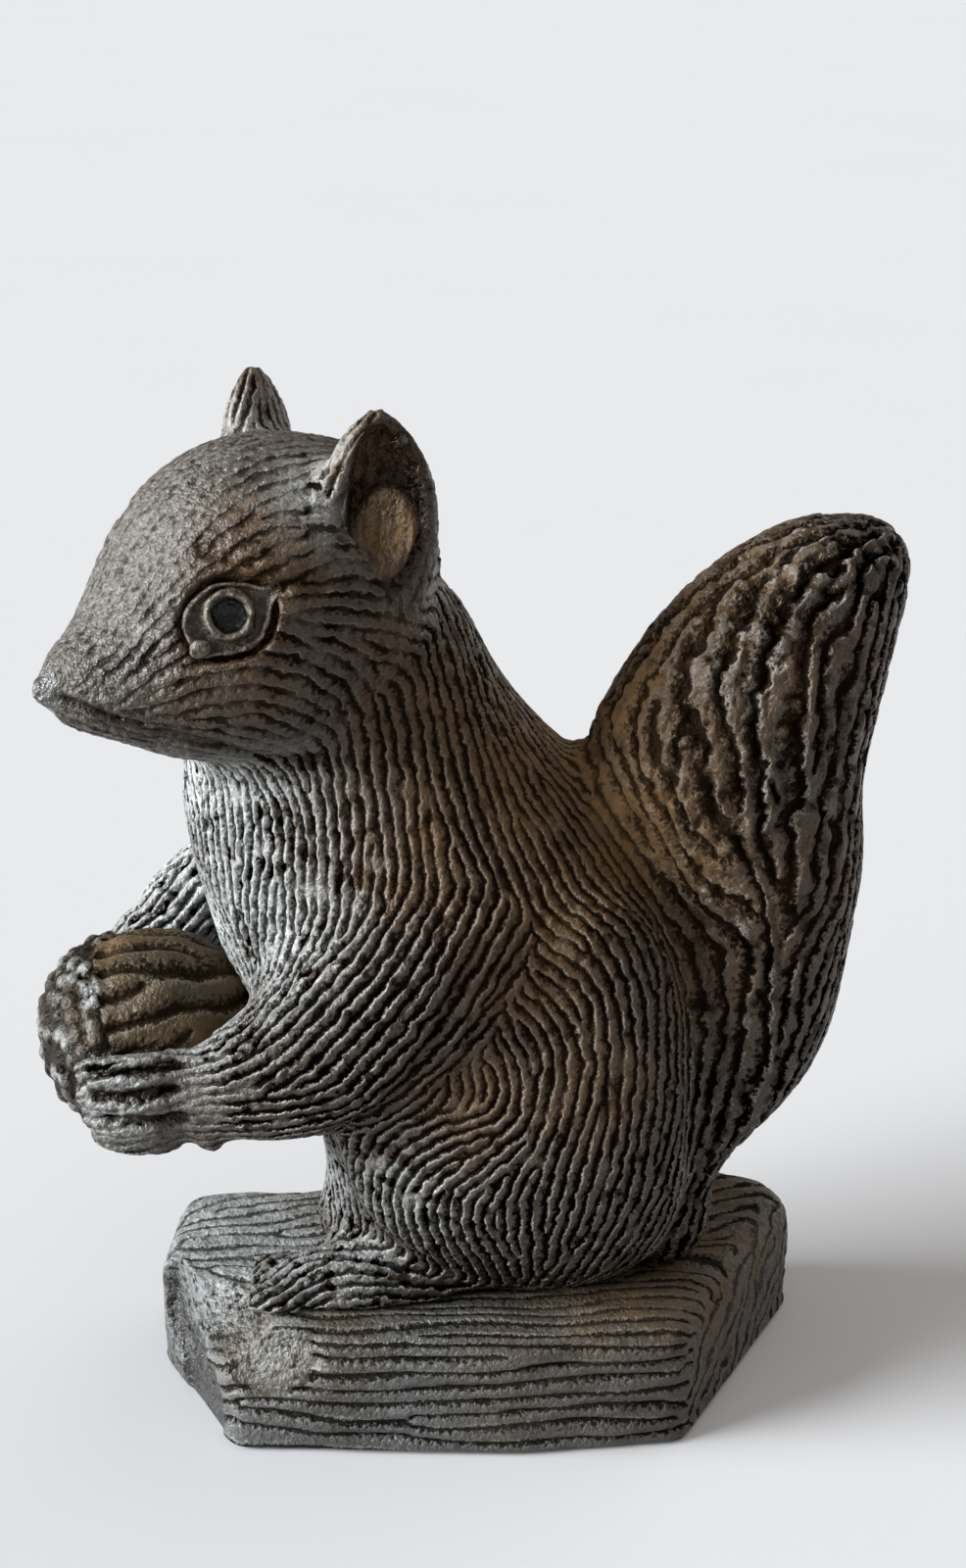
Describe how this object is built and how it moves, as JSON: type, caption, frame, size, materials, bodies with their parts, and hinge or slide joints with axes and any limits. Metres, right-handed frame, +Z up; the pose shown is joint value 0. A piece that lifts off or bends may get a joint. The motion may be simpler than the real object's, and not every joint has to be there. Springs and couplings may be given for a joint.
{
  "type": "squirrel figurine",
  "caption": "Small dark cast-stone squirrel with carved fur, sitting upright on a split-log stand with its brush raised, head turned to one side and an acorn held in its paws.",
  "frame": {"origin": "on the underside of the log stand, at the middle of its length and depth", "axes": "+Z up; the stand lies along X; the squirrel faces -X with its tail at +X, and its left side, the side in the picture, faces -Y"},
  "size_m": [0.067, 0.0317, 0.0834],
  "materials": {
    "fur_stone": "waxed cast stone with carved fur, lighter on the ridges and dusty brown in the hollows",
    "log_stone": "waxed cast stone with carved wood grain",
    "nut_stone": "waxed cast stone, ribbed shell and pebbled cup",
    "polished_stone": "rubbed smooth and shiny",
    "eye_stone": "smooth dark ring and sunk pupil"
  },
  "bodies": {
    "root": {"log_base": "log_stone", "body": "fur_stone", "head": "fur_stone", "left_ear": "fur_stone", "right_ear": "fur_stone", "left_eye": "eye_stone", "right_eye": "eye_stone", "nose": "polished_stone", "left_arm": "fur_stone", "right_arm": "fur_stone", "left_forepaw": "fur_stone", "right_forepaw": "fur_stone", "nut": "nut_stone", "left_haunch": "fur_stone", "right_haunch": "fur_stone", "left_hind_foot": "fur_stone", "right_hind_foot": "fur_stone", "tail": "fur_stone"}
  },
  "joints": []
}
